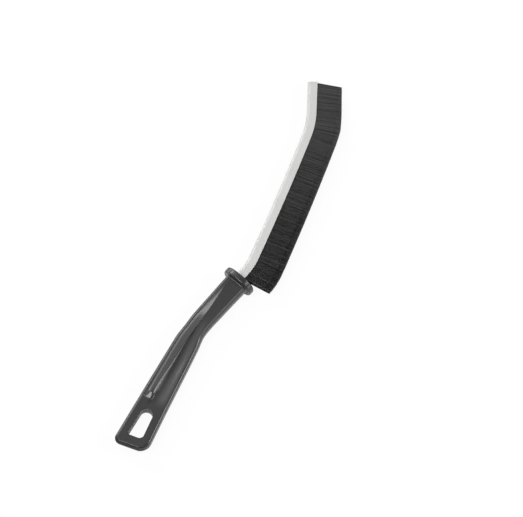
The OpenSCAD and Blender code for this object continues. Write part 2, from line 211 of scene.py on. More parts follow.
def rounded(corners):
    """Points of a line through corners (x, z, reach, steps), each corner cut round."""
    out = []
    for i, (x, z, reach, steps) in enumerate(corners):
        here = Vector((x, z))
        if steps == 0:
            out.append(here)
            continue
        before = Vector(corners[i - 1][:2]) - here
        after = Vector(corners[i + 1][:2]) - here
        a = here + before.normalized() * min(reach, before.length / 2)
        b = here + after.normalized() * min(reach, after.length / 2)
        for k in range(steps + 1):
            t = k / steps
            out.append((1 - t) ** 2 * a + 2 * t * (1 - t) * here + t * t * b)
    return out


# Handle's middle line
BEND_L = BEND_R * math.radians(NECK_TURN)
BEND_TANGENT = BEND_R * math.tan(math.radians(NECK_TURN / 2))
BEND_START = GRIP_L - BEND_TANGENT
BEND_MID = BEND_START + BEND_L / 2
BEND_END = BEND_START + BEND_L
HANDLE_L = BEND_END + NECK_L - BEND_TANGENT
HANDLE_RUNS = ((BEND_START, 0), (BEND_L, -NECK_TURN), (NECK_L - BEND_TANGENT, 0))
LAND_L = SLOT_WALL + SLOT_L + LAND_PAST_SLOT
RIB_TIP = LAND_L + RIB_TIP_GAP
NECK_END = HANDLE_L - COLLAR_T / 2
FAR = walk(HANDLE_RUNS, HANDLE_L, (0, 0, 0))
HANDLE_HOME = (-FAR[0], -FAR[1], 0)

# Strip's mouth line
HEEL_L = HEEL_R * math.radians(HEEL_TURN)
TOE_L = TOE_R * math.radians(TOE_TURN)
HEEL_END = HEEL_RUN + HEEL_L
TOE_START = HEEL_END + BODY_RUN
TOE_BEND_END = TOE_START + TOE_L
STRIP_L = TOE_BEND_END + TOE_RUN
STRIP_RUNS = ((HEEL_RUN, 0), (HEEL_L, HEEL_TURN), (BODY_RUN, BODY_TURN), (TOE_L, TOE_TURN),
              (TOE_RUN, 0))
STRIP_HOME = left_of((0, 0, -NECK_TURN), -MOUTH_DROP) + (-NECK_TURN,)
BODY_HEADING = -NECK_TURN + HEEL_TURN + BODY_TURN / 2


def handle_pose(s):
    return walk(HANDLE_RUNS, s, HANDLE_HOME)


def strip_pose(s):
    return run_end(STRIP_HOME, s, 0) if s < 0 else walk(STRIP_RUNS, s, STRIP_HOME)


def in_frame(x, y, z):
    """A point given from the collar's middle, in the frame's metres."""
    return (Vector((x, y, z)) + COLLAR_MIDDLE) * MM


# Handle's section ------------------------------------------------------------------

# Lines and angles along the face, by place: 0 at the rib's tip, 1 where the bend starts, 2 where
# it ends and 3 at the collar
COLLAR_PLACE = 3
# Back and front edge of the rib, as shares of the half width
CREST = ((0, 0.575), (0.05, 0.59), (0.15, 0.61), (0.4, 0.633), (0.8, 0.634), (1.1, 0.61),
         (1.35, 0.6), (1.55, 0.57), (2, 0.57), (3, 0.62))
RIDGE = ((0, 0.3), (0.05, 0.275), (0.11, 0.27), (0.18, 0.275), (0.4, 0.23), (0.7, 0.14),
         (1, 0.09), (1.5, 0.02), (1.87, 0.05), (2, 0.1), (2.25, 0.22), (2.54, 0.39),
         (2.75, 0.55), (3, 0.7))
# Front wall, as a share of the half width, and the face's front rim, as a share of the wall's place
FRONT = ((-1, 0.99), (0, 0.97), (0.4, 0.98), (0.75, 0.99), (1, 0.985), (1.2, 0.97), (1.5, 0.95),
         (2, 0.985), (2.6, 1.0), (3, 1.025))
RIM = ((-1, 0.84), (0.4, 0.8), (1, 0.765), (1.5, 0.73), (2, 0.73), (3, 0.74))
# Tilts of the rib's top facet, and of the front side where it leaves the face
FACET_TILT = ((0, 0), (0.08, 1), (0.3, 6), (1, 7), (1.7, 9), (2, 17), (2.25, 16), (2.5, 11),
              (2.75, 5), (3, 0))
EDGE_TILT = ((1.1, 0), (1.5, 38))
# Shares of the shoulder's fall, the bevel's width and the step's width
FALL_SHARES = ((2, 1), (2.4, 0.8), (2.7, 0.16), (3, 0.16))
BEVEL_SHARES = ((0, 0.3), (0.08, 0.8), (0.16, 1), (0.36, 1), (0.68, 0.56), (1, 0.2), (3, 0.1))
STEP_SHARES = ((0, 0.8), (0.2, 1.25), (0.57, 1.1), (2, 1))
# Reaches over which the lines flow, in places: most lines' least and most, then some lines' own
LEAST_REACH, MOST_REACH = 0.02, 0.12
FRONT_REACH, BEVEL_REACH, EDGE_REACH = 0.08, 0.06, 0.1

# Shoulder beside the rib: its fall, its least fall, how far before the rib's tip it starts to
# rise, and the length of the rise
SHOULDER_FALL = 0.38
SHOULDER_MIN_FALL = 0.05
SHOULDER_START_L = 2.0
SHOULDER_RISE_L = 12.0
# Slope from the rib's back edge to the shoulder, on the rib and on the land
RISER_W = 1.2
LAND_RISER_W = 0.2
# Rib: the length over which it rises, its least width, and the bevel on its front edge
RIB_RISE_L = 4.8
RIB_MIN_W = 0.5
BEVEL_W = 1.3
BEVEL_TILT = 27.0
# Steep step between rib and hollow, and the share of its width left where the hollow has run out
STEP_W = 1.05
STEP_END_SHARE = 0.1
# Hollow: the lengths over which it starts and runs out, how far the rim beside it stands under
# the rib, the share of its width that is level, and the power of its rise to the rim
HOLLOW_START_L = 9.0
HOLLOW_END_L = 42.0
RIM_FALL = 1.0
HOLLOW_LOW = 0.15
HOLLOW_CURVE = 1.15
# Back side: the most that its round takes of the shoulder, as a width and as a share, and the
# height of the round
SIDE_BACK_W = 1.7
SIDE_BACK_SHARE = 0.75
SIDE_ROUND_H = 2.6
# How far both sides stand in from the full width, at their round and half-way down from it
SIDE_IN = 0.05
SIDE_MID_IN = 0.02
# Rounding of the face's corners: reach each way and steps. PLAIN leaves a corner as it is
SHOULDER_ROUND = (0.2, 2)
RISER_ROUND = (0.25, 3)
CREST_ROUND = (0.25, 4)
RIDGE_ROUND = (0.2, 3)
BEVEL_ROUND = (0.2, 4)
RIM_ROUND = (0.4, 3)
PLAIN = (0, 0)
# Extra reach of the rib's corners at its tip, and the place where that has run out
TIP_SOFTNESS = 0.9
TIP_SOFT_END = 0.2
# Steps of each side's round, and of the hollow
SIDE_STEPS = 10
HOLLOW_STEPS = 16


def corner_in(s, r):
    """How far a round corner stands in, at a distance from the butt."""
    return 0 if s >= r else r - math.sqrt(r * r - (r - s) ** 2)


def taper_w(s):
    """Width of the handle at s."""
    if s < BEND_START:
        return mix(BUTT_W, GRIP_END_W, s / BEND_START)
    if s < BEND_MID:
        return mix(GRIP_END_W, WAIST_W, ease((s - BEND_START) / (BEND_MID - BEND_START)))
    return mix(WAIST_W, NECK_W, (s - BEND_MID) / (HANDLE_L - BEND_MID))


def place_of(s):
    if s < BEND_START:
        return (s - RIB_TIP) / (BEND_START - RIB_TIP)
    if s < BEND_END:
        return 1 + (s - BEND_START) / BEND_L
    return 2 + (s - BEND_END) / (NECK_END - BEND_END)


def back_side(wb, side_w, shoulder_z):
    """Corners from the back edge at mid height up to the shoulder."""
    corners = [(wb, 0, *PLAIN), (wb - SIDE_MID_IN, (shoulder_z - SIDE_ROUND_H) / 2, *PLAIN)]
    for a in [0] + quarter(SIDE_STEPS)[:-1]:
        corners.append((wb - side_w * (1 - math.cos(a)) - SIDE_IN,
                        shoulder_z - SIDE_ROUND_H * (1 - math.sin(a)), *PLAIN))
    return corners + [(wb - side_w - SIDE_IN, shoulder_z, *SHOULDER_ROUND)]


def hollow_side(foot, rim_x, floor, rim_z):
    """Corners from the foot of the step over the hollow's floor, up to the rim."""
    corners = []
    for i in range(HOLLOW_STEPS):
        t = i / HOLLOW_STEPS
        rise = clamp((t - HOLLOW_LOW) / (1 - HOLLOW_LOW)) ** HOLLOW_CURVE
        corners.append((mix(foot, rim_x, t), mix(floor, rim_z, ease(rise)), *PLAIN))
    return corners


def front_side(wf, rim, rim_z, lean):
    """Corners from the rim round to the front edge at mid height."""
    r = wf * (1 - rim) / (1 - math.sin(lean))
    z = rim_z - r * math.cos(lean)
    corners = [(-wf * rim, rim_z, *RIM_ROUND)]
    for a in spread(lean, math.pi / 2, SIDE_STEPS):
        corners.append((SIDE_IN - wf + r * (1 - math.sin(a)), z + r * math.cos(a), *PLAIN))
    return corners + [(SIDE_MID_IN - wf, z / 2, *PLAIN), (-wf, 0, *PLAIN)]


def half_section(s):
    """Half of the handle's section at s, from its back edge over the face to its front edge."""
    place = place_of(s)
    reach = clamp(place / COLLAR_PLACE, LEAST_REACH, MOST_REACH)
    wb = taper_w(s) / 2 - corner_in(s, BUTT_BACK_R)
    wf = taper_w(s) / 2 * flowing(place, FRONT, FRONT_REACH) - corner_in(s, BUTT_R)
    edge = corner_in(s, BUTT_EDGE_R)

    # Shares of the land under the rib, and of the hollow
    land = 1 - even_rise((s - RIB_TIP) / RIB_RISE_L)
    closing = 1 - ease((s - BEND_END + HOLLOW_END_L) / HOLLOW_END_L)
    hollow = ease((s - LAND_L) / HOLLOW_START_L) * closing

    # Heights of the rib, the hollow's floor and the rim
    rib = mix(NECK_T, LAND_T, land) / 2 - edge
    low = 1 - ease((s - BEND_START) / (BEND_END - BEND_START))
    flat = mix(NECK_T / 2, LAND_T / 2, low) - edge
    floor = mix(flat, NECK_T / 2 - HOLLOW_D, hollow)
    rim_z = flat + (NECK_T / 2 - RIM_FALL - LAND_T / 2) * hollow

    # Rib: its back edge, its front edge with the bevel, and the foot of the step
    crest = wb * flowing(place, CREST, reach)
    ridge = min(wb * flowing(place, RIDGE, reach), crest - RIB_MIN_W)
    bevel = BEVEL_W * flowing(place, BEVEL_SHARES, BEVEL_REACH) / 2
    bevel_z = max(rib - 2 * bevel * math.tan(math.radians(BEVEL_TILT)) * hollow, floor)
    foot = ridge - bevel - STEP_W * lookup(place, STEP_SHARES) * mix(STEP_END_SHARE, 1, closing)
    tilt = math.radians(flowing(place, FACET_TILT, reach))
    drop = math.tan(tilt) * (crest - ridge) * (1 - land)

    # Shoulder beside the rib
    riser = mix(RISER_W, LAND_RISER_W, land) / 2
    fall = SHOULDER_FALL * flowing(place, FALL_SHARES, reach)
    risen = ease((s - RIB_TIP + SHOULDER_START_L) / SHOULDER_RISE_L)
    shoulder_z = min(rib - drop - SHOULDER_MIN_FALL * (1 - land),
                     mix(LAND_T / 2, NECK_T / 2 - drop - fall, risen) - edge)
    side_w = min(SIDE_BACK_W, (wb - crest - riser) * SIDE_BACK_SHARE)

    rim = flowing(place, RIM, reach)
    lean = math.radians(flowing(place, EDGE_TILT, EDGE_REACH))
    soft = TIP_SOFTNESS * (1 - ease(place / TIP_SOFT_END))
    rib_corners = [
        (crest + riser, shoulder_z, RISER_ROUND),
        (crest - riser, rib - drop, CREST_ROUND),
        (ridge + bevel, rib, RIDGE_ROUND),
        (ridge - bevel, bevel_z, BEVEL_ROUND),
    ]
    return rounded(
        back_side(wb, side_w, shoulder_z)
        + [(x, z, turn + soft, steps) for x, z, (turn, steps) in rib_corners]
        + hollow_side(foot, -wf * rim, floor, rim_z)
        + front_side(wf, rim, rim_z, lean))


def whole_section(s):
    half = half_section(s)
    return half + [Vector((p.x, -p.y)) for p in half[-2:0:-1]]


def collar_section(inset):
    """The collar's squared oval, in the directions of the neck's own section."""
    a, b = COLLAR_W / 2 - inset, COLLAR_D / 2 - inset
    out = []
    for p in whole_section(NECK_END):
        c, k = p.normalized()
        r = ((abs(c) / a) ** COLLAR_POWER + (abs(k) / b) ** COLLAR_POWER) ** (-1 / COLLAR_POWER)
        out.append(Vector((c, k)) * r)
    return out


def slope_at(s):
    """Slope of the sections across the handle, which runs out at the slot's far end."""
    return BUTT_SLOPE * (1 - ease(s / (SLOT_WALL + SLOT_L)))


def lay(s, ring):
    """A section set across the handle's middle line at s."""
    pose = handle_pose(s)
    a = math.radians(pose[2])
    shear = slope_at(s)
    out = []
    for p in ring:
        x, y = left_of(pose, p.x)
        out.append(in_frame(x - shear * p.x * math.cos(a), y - shear * p.x * math.sin(a), p.y))
    return out


# Steps of each stretch of the handle. They are closest round the rib's tip, from TIP_BEFORE on the
# butt's side of it to TIP_PAST on the neck's side
TIP_BEFORE, TIP_PAST = 6.0, 8.0
BUTT_STEPS, LAND_STEPS, TIP_STEPS = 16, 8, 42
GRIP_STEPS, BEND_STEPS, NECK_STEPS = 40, 40, 30
FILLET_STEPS, COLLAR_RIM_STEPS = 6, 8


def handle_rings():
    """Sections from the butt to the collar's front."""
    close_start, close_end = RIB_TIP - TIP_BEFORE, RIB_TIP + TIP_PAST
    places = [mix(BUTT_TRIM, BUTT_R, 1 - math.cos(a)) for a in [0] + quarter(BUTT_STEPS)]
    places += spread(BUTT_R, close_start, LAND_STEPS)
    places += spread(close_start, close_end, TIP_STEPS)
    places += spread(close_end, BEND_START, GRIP_STEPS)
    places += spread(BEND_START, BEND_END, BEND_STEPS)
    places += spread(BEND_END, NECK_END - FILLET_R, NECK_STEPS)
    rings = [lay(s, whole_section(s)) for s in places]
    for a in quarter(FILLET_STEPS):
        grow = FILLET_R * (1 - math.cos(a))
        ring = [p * (1 + grow / p.length) for p in whole_section(NECK_END)]
        rings.append(lay(NECK_END - FILLET_R * (1 - math.sin(a)), ring))
    rim = [(RIM_R * (1 - math.cos(a)), RIM_R * (1 - math.sin(a)))
           for a in [0] + quarter(COLLAR_RIM_STEPS)]
    rings += [lay(NECK_END + along, collar_section(inset)) for along, inset in rim]
    rings += [lay(NECK_END + COLLAR_T - inset, collar_section(along)) for along, inset in rim]
    return rings


# Mesh helpers ----------------------------------------------------------------------

def loft(rings):
    """A bmesh that grows from the first ring to the last by extruding its end face."""
    bm = bmesh.new()
    bmesh.ops.create_circle(bm, cap_ends=True, segments=len(rings[0]), radius=1)
    face = bm.faces[:][0]
    passed = []
    for vert, place in zip(face.verts, rings[0]):
        vert.co = place
    for ring in rings[1:]:
        grown = bmesh.ops.extrude_face_region(bm, geom=[face])["geom"]
        passed.append(face)
        face = next(g for g in grown if isinstance(g, bmesh.types.BMFace))
        for vert, place in zip(face.verts, ring):
            vert.co = place
    bmesh.ops.delete(bm, geom=passed[1:], context="FACES_ONLY")
    bmesh.ops.recalc_face_normals(bm, faces=bm.faces)
    return bm


def to_mesh(name, bm):
    """Turns a bmesh into a mesh and frees it."""
    mesh = bpy.data.meshes.new(name)
    bm.to_mesh(mesh)
    bm.free()
    return mesh


def put(name, data):
    """Puts an object with the given data in the scene."""
    obj = bpy.data.objects.new(name, data)
    bpy.context.scene.collection.objects.link(obj)
    return obj


def piece(name, bm, material, slot, *nodes):
    """Turns a bmesh into a finished piece that rides with the brush."""
    obj = put(name, to_mesh(name, bm))
    obj.data.materials.append(material)
    obj.data.shade_smooth()
    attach(obj, "root")
    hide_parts(*nodes)
    return obj


def crisp(obj):
    """Keeps a moulding's edges sharp and its flats flat."""
    obj.data.set_sharp_from_angle(angle=math.radians(SHARP_ANGLE))
    obj.modifiers.new("flats", "WEIGHTED_NORMAL").keep_sharp = True


def cut(bm, cutters):
    """The first bmesh less the others, as a new bmesh."""
    whole = put("uncut", to_mesh("uncut", bm))
    tools = [put("cutter", to_mesh("cutter", cutter)) for cutter in cutters]
    for tool in tools:
        mod = whole.modifiers.new("cut", "BOOLEAN")
        mod.operation = "DIFFERENCE"
        mod.solver = "EXACT"
        mod.object = tool
    graph = bpy.context.evaluated_depsgraph_get()
    out = bmesh.new()
    out.from_mesh(whole.evaluated_get(graph).to_mesh())
    for obj in [whole] + tools:
        mesh = obj.data
        bpy.data.objects.remove(obj)
        bpy.data.meshes.remove(mesh)
    return out


# Node trees and materials ----------------------------------------------------------

# Range in which a noise's values mostly lie, and that of two noises added
NOISE_RANGE = (0.3, 0.7)
NOISE_SUM_RANGE = (0.7, 1.3)


class Nodes:
    """Small helper that builds a node tree in reading order, from outputs and plain values."""

    def __init__(self, tree):
        self.tree = tree

    def add(self, kind):
        return self.tree.nodes.new("ShaderNode" + kind)

    def feed(self, socket, value):
        if isinstance(value, bpy.types.NodeSocket):
            self.tree.links.new(value, socket)
        else:
            socket.default_value = value

    def coords(self, kind):
        return self.add("TexCoord").outputs[kind]

    def axis(self, vector, name):
        node = self.add("SeparateXYZ")
        self.feed(node.inputs["Vector"], vector)
        return node.outputs[name]

    def math(self, operation, a, b):
        node = self.add("Math")
        node.operation = operation
        self.feed(node.inputs[0], a)
        self.feed(node.inputs[1], b)
        return node.outputs["Value"]

    def vector_math(self, operation, a, b):
        node = self.add("VectorMath")
        node.operation = operation
        self.feed(node.inputs[0], a)
        self.feed(node.inputs["Scale" if operation == "SCALE" else 1], b)
        return node.outputs["Value" if operation == "DOT_PRODUCT" else "Vector"]

    def ranged(self, value, span, low, high, soft=False):
        """Takes a value from a span to the range low to high, and holds it there."""
        node = self.add("MapRange")
        node.interpolation_type = "SMOOTHSTEP" if soft else "LINEAR"
        node.inputs["From Min"].default_value = span[0]
        node.inputs["From Max"].default_value = span[1]
        node.inputs["To Min"].default_value = low
        node.inputs["To Max"].default_value = high
        self.feed(node.inputs["Value"], value)
        return node.outputs["Result"]

    def ramp(self, fac, stops):
        """A colour ramp with stops (place, colour)."""
        node = self.add("ValToRGB")
        elements = node.color_ramp.elements
        while len(elements) < len(stops):
            elements.new(0.5)
        for element, (place, colour) in zip(elements, stops):
            element.position = place
            element.color = (*colour, 1)
        self.feed(node.inputs["Fac"], fac)
        return node.outputs["Color"]


class Finish(Nodes):
    """A material of one Principled shader, fed by noises on the piece's own coordinates."""

    def __init__(self, name):
        self.material = bpy.data.materials.new(name)
        self.material.use_nodes = True
        super().__init__(self.material.node_tree)
        self.bsdf = self.tree.nodes["Principled BSDF"]
        self.place = self.coords("Object")

    def noise(self, scale, detail):
        """A noise of one scale to the metre, or of three, one for each axis."""
        node = self.add("TexNoise")
        place = self.place
        if isinstance(scale, tuple):
            stretch = self.add("Mapping")
            stretch.inputs["Scale"].default_value = scale
            self.feed(stretch.inputs["Vector"], place)
            place, scale = stretch.outputs["Vector"], 1.0
        node.inputs["Scale"].default_value = scale
        node.inputs["Detail"].default_value = detail
        self.feed(node.inputs["Vector"], place)
        return node.outputs["Fac"]

    def colour(self, fac, dark, light, span=NOISE_RANGE):
        self.set("Base Color", self.ramp(fac, tuple(zip(span, (dark, light)))))

    def roughness(self, fac, levels, span=NOISE_RANGE):
        self.set("Roughness", self.ranged(fac, span, *levels))

    def bump(self, height, distance):
        node = self.add("Bump")
        node.inputs["Distance"].default_value = distance
        self.feed(node.inputs["Height"], height)
        self.set("Normal", node.outputs["Normal"])

    def set(self, name, value):
        self.feed(self.bsdf.inputs[name], value)


def grey(v):
    return (v, v, v)


# Handle: its two tones, the scales of its clouding, grain and long scuffs to the metre, its
# roughness, its relief, and the share of the scuffs in that
HANDLE_DARK, HANDLE_LIGHT = grey(0.0225), grey(0.0265)
HANDLE_CLOUDS, HANDLE_GRAIN, HANDLE_SCUFFS = 90, 5200, (120, 900, 900)
HANDLE_ROUGHNESS = (0.21, 0.27)
HANDLE_RELIEF = 0.004 * MM
SCUFF_SHARE = 0.4
# Strip: its two tones, the scales of its clouding and drawn lines, its roughness and relief
STRIP_DARK, STRIP_LIGHT = (0.44, 0.44, 0.435), (0.465, 0.465, 0.46)
STRIP_CLOUDS, STRIP_LINES = 60, (60, 1500, 1500)
STRIP_ROUGHNESS = (0.3, 0.42)
STRIP_RELIEF = 0.006 * MM
# Nylon: its darkest and lightest tone, the roughness at each, and its shine
NYLON_DARK, NYLON_LIGHT = grey(0.006), grey(0.075)
NYLON_ROUGHNESS = (0.34, 0.5)
NYLON_SHINE = 0.32
# Steel: its two tones, the scale of its drawn lines, its roughness and relief
STEEL_DARK, STEEL_LIGHT = grey(0.42), grey(0.55)
STEEL_LINES = (200, 4000, 4000)
STEEL_ROUGHNESS = (0.28, 0.4)
STEEL_RELIEF = 0.01 * MM


def handle_plastic():
    finish = Finish("handle_plastic")
    finish.colour(finish.noise(HANDLE_CLOUDS, detail=3), HANDLE_DARK, HANDLE_LIGHT)
    grain = finish.noise(HANDLE_GRAIN, detail=2)
    scuff = finish.noise(HANDLE_SCUFFS, detail=4)
    finish.roughness(finish.math("ADD", grain, scuff), HANDLE_ROUGHNESS, NOISE_SUM_RANGE)
    relief = finish.math("ADD", grain, finish.math("MULTIPLY", scuff, SCUFF_SHARE))
    finish.bump(relief, HANDLE_RELIEF)
    return finish.material


def strip_plastic():
    finish = Finish("strip_plastic")
    finish.colour(finish.noise(STRIP_CLOUDS, detail=2), STRIP_DARK, STRIP_LIGHT)
    drawn = finish.noise(STRIP_LINES, detail=3)
    finish.roughness(drawn, STRIP_ROUGHNESS)
    finish.bump(drawn, STRIP_RELIEF)
    return finish.material


def bristle_nylon():
    """Black nylon whose tone is written on the filaments, from 0 to 1. That tone holds a painted
    sheen that lightens it towards the toe.
    """
    finish = Finish("bristle_nylon")
    tone = finish.add("Attribute")
    tone.attribute_name = "tone"
    finish.colour(tone.outputs["Fac"], NYLON_DARK, NYLON_LIGHT, (0, 1))
    finish.roughness(tone.outputs["Fac"], NYLON_ROUGHNESS, (0, 1))
    finish.set("Specular IOR Level", NYLON_SHINE)
    return finish.material


def wire_steel():
    finish = Finish("wire_steel")
    finish.set("Metallic", 1.0)
    drawn = finish.noise(STEEL_LINES, detail=3)
    finish.colour(drawn, STEEL_DARK, STEEL_LIGHT)
    finish.roughness(drawn, STEEL_ROUGHNESS)
    finish.bump(drawn, STEEL_RELIEF)
    return finish.material


# Handle and channel ----------------------------------------------------------------

# Steps of the slot's round end and of its two corners, and of the round on its rims
SLOT_END_STEPS, SLOT_CORNER_STEPS, SLOT_FAR_CORNER_STEPS = 24, 6, 8
SLOT_RIM_STEPS = 6
# Extra width of the slot's cutter outside the faces
SLOT_FLARE = 0.3


def slot_outline():
    """Outline of the slot: a round end towards the neck, and two corners towards the butt."""
    end_r, far_r = SLOT_NECK_W / 2, 2 * SLOT_CORNER_R
    line = arc(SLOT_WALL + SLOT_L - end_r, 0, end_r, -90, SLOT_END_STEPS, 180)
    line += arc(SLOT_WALL + SLOT_CORNER_R, SLOT_BUTT_W / 2 - SLOT_CORNER_R, SLOT_CORNER_R,
                90, SLOT_CORNER_STEPS, 90)
    return line + arc(SLOT_WALL + far_r, far_r - SLOT_BUTT_W / 2, far_r,
                      180, SLOT_FAR_CORNER_STEPS, 90)


def slot_cutter():
    """The slot's outline, carried through the handle, with its rims flared round."""
    line = slot_outline()

    def ring(z, out):
        placed = []
        for i, p in enumerate(line):
            along = (line[(i + 1) % len(line)] - line[i - 1]).normalized()
            q = p + Vector((along.y, -along.x)) * out
            placed.append(in_frame(HANDLE_HOME[0] + q.x - slope_at(q.x) * q.y,
                                   HANDLE_HOME[1] + q.y, z))
        return placed

    face = LAND_T / 2
    steps = [(face + CUT_OVER, SLOT_RIM_R + SLOT_FLARE)]
    steps += [(face - SLOT_RIM_R * (1 - math.cos(a)), SLOT_RIM_R * (1 - math.sin(a)))
              for a in [0] + quarter(SLOT_RIM_STEPS)]
    steps = [(-z, out) for z, out in steps] + steps[::-1]
    return loft([ring(z, out) for z, out in steps])


def socket_cutter():
    """The mouth in the collar that takes the strip's tang."""
    bm = bmesh.new()
    bmesh.ops.create_cube(bm, size=1)
    width = PACK_W + 2 * ROOT_FIT + 2 * SPINE_WALL + 2 * TANG_FIT
    low = Vector((-TANG_L - TANG_FIT, -MOUTH_DROP - TANG_FIT, -width / 2))
    high = Vector((COLLAR_T + CUT_OVER, SPINE_H - MOUTH_DROP + TANG_FIT, width / 2))
    turn = Matrix.Rotation(math.radians(-NECK_TURN), 3, "Z")
    bmesh.ops.scale(bm, vec=high - low, verts=bm.verts)
    bmesh.ops.translate(bm, vec=(low + high) / 2, verts=bm.verts)
    bmesh.ops.rotate(bm, matrix=turn, verts=bm.verts)
    bmesh.ops.translate(bm, vec=COLLAR_MIDDLE, verts=bm.verts)
    bmesh.ops.scale(bm, vec=(MM, MM, MM), verts=bm.verts)
    return bm


def make_handle(material):
    bm = cut(loft(handle_rings()), [slot_cutter(), socket_cutter()])
    bmesh.ops.remove_doubles(bm, verts=bm.verts, dist=MERGE_DIST)
    crisp(piece("handle_moulding", bm, material, "handle_plastic", "handle"))


# Steps of the channel's corners and shoulders, and of its five stretches from the tang on
CHANNEL_CORNER_STEPS = 3
CHANNEL_SHOULDER_STEPS = 12
STRIP_STEPS = (6, 20, 40, 22, 4)


def spine_section():
    """Closed outline of the channel: (height over the mouth, level place)."""
    cavity = PACK_W / 2 + ROOT_FIT
    outer = cavity + SPINE_WALL
    top = WIRE_DEPTH + WIRE_D / 2 + ROOT_FIT
    half = [(top, 0, *PLAIN), (top, cavity, CAVITY_R, CHANNEL_CORNER_STEPS),
            (0, cavity, LIP_R, CHANNEL_CORNER_STEPS), (0, outer, LIP_R, CHANNEL_CORNER_STEPS)]
    for a in [0] + quarter(CHANNEL_SHOULDER_STEPS):
        half.append((SPINE_H - SHOULDER_R * (1 - math.sin(a)),
                     outer - SHOULDER_R * (1 - math.cos(a)), *PLAIN))
    half = rounded(half)
    return half + [Vector((p.x, -p.y)) for p in half[:0:-1]]


def make_spine(material):
    section = spine_section()
    ends = (-TANG_L, HEEL_RUN, HEEL_END, TOE_START, TOE_BEND_END, STRIP_L)
    places = [-TANG_L]
    for start, end, steps in zip(ends, ends[1:], STRIP_STEPS):
        places += spread(start, end, steps)
    rings = []
    for s in places:
        pose = strip_pose(s)
        rings.append([in_frame(*left_of(pose, p.x), p.y) for p in section])
    crisp(piece("channel_strip", loft(rings), material, "strip_plastic", "spine"))


# Bristles --------------------------------------------------------------------------

# Share of the strip's turning that the bristles follow, and the length of them that shows
LEAN = ((0, 0.24), (HEEL_END, 0.7), (HEEL_END + BODY_RUN / 4, 1), (TOE_START, 1.3),
        (TOE_BEND_END, 0.8), (STRIP_L, 0.54))
LENGTHS = ((0, HEEL_STRAND_L), (HEEL_END, BODY_STRAND_L),
           (TOE_START, mix(BODY_STRAND_L, TOE_STRAND_L, BODY_RUN / (STRIP_L - HEEL_END))),
           (STRIP_L, TOE_STRAND_L))
# The five parts of the pack, and the shares of the strip where they start and end
PARTS = ("heel", "lower", "middle", "upper", "toe")
PART_SHARES = (0, 0.15, 0.35, 0.55, 0.75, 1)
# Bare strip past the last filament, besides the margin
END_GAP = 0.06
BRISTLE_START = COLLAR_T / 2 + HEEL_GAP
BRISTLE_END = STRIP_L - TOE_MARGIN - END_GAP
# One filament: thickness at root and tip, spacing, and the cuts along it. Its first short
# length reaches from the root to the mouth
FILAMENT_D = 0.25
FILAMENT_TIP_D = 0.19
FILAMENT_PITCH = 0.27
FILAMENT_CUTS = 4
MOUTH_SHARE = 1 / (FILAMENT_CUTS + 1)
# How far a root goes past the wire's middle beside the wire, and its gap to the wire under it
ROOT_PAST_WIRE = 0.4
WIRE_GAP = 0.08
# Strays of a filament: its place along and across the strip, its lean, its length, its bow along
# and across the strip, and the most, in radians, that it is turned about its own line
STRAY_ALONG = 0.06
STRAY_ACROSS = 0.04
STRAY_LEAN = 0.25
STRAY_LENGTH = (-0.22, -0.03)
STRAY_BOW, STRAY_BOW_ACROSS = 0.07, 0.05
MOST_TWIST = 1.6
# Spread of the tips across the strip, as a share of their place, and the most past the pack
FAN_SHARE = 0.02
FAN_PAST = 0.05
# Slow waves that draw neighbouring filaments together into faint locks: their count, their rates
# along and across the strip in radians to the millimetre, their latest start in radians, and what
# their sum is divided by
WAVES = 9
WAVE_RATES = (0.9, 4.5)
WAVE_SKEWS = (-0.8, 0.8)
WAVE_START = 6.3
WAVE_DIVISOR = 3
# What a lock adds to the lean and to the tone
LOCK_LEAN = 0.22
LOCK_TONE = 0.12
# Tone of the filaments, from 0 to 1, at heel and toe, and its stray. The rise from heel to toe is a
# painted sheen, lighter at the toe for the light that its bend catches
HEEL_SHEEN_TONE, TOE_SHEEN_TONE = 0.08, 0.66
STRAY_TONE = 0.15
# Start of the random draws
SEED = 7


def bristle_lean(s):
    return BODY_HEADING + (strip_pose(s)[2] - BODY_HEADING) * lookup(s, LEAN)


def bristle_length(s):
    turned = (s - TOE_START) / TOE_L * TOE_TURN
    a = math.radians(clamp(min(turned, TOE_TURN - turned), 0, TOE_TURN))
    return lookup(s, LENGTHS) + CORNER_SHARE * (TOE_R + TOE_STRAND_L) * (1 / math.cos(a) - 1)


def filament_template():
    """One straight filament along Z from 0 to 1, four-sided, cut into short lengths."""
    bm = bmesh.new()
    bmesh.ops.create_cone(bm, cap_ends=True, segments=4, radius1=0.5, radius2=0.5, depth=1)
    bmesh.ops.translate(bm, vec=(0, 0, 0.5), verts=bm.verts)
    long_edges = [e for e in bm.edges if abs(e.verts[0].co.z - e.verts[1].co.z) > 0.5]
    bmesh.ops.subdivide_edges(bm, edges=long_edges, cuts=FILAMENT_CUTS, use_grid_fill=True)
    return to_mesh("filament", bm)


def root_depth(z):
    """How far in a root reaches: up to the wire, or beside the wire past its middle."""
    if abs(z) < WIRE_D / 2:
        return WIRE_DEPTH - math.sqrt((WIRE_D / 2) ** 2 - z * z) - WIRE_GAP
    return WIRE_DEPTH + ROOT_PAST_WIRE


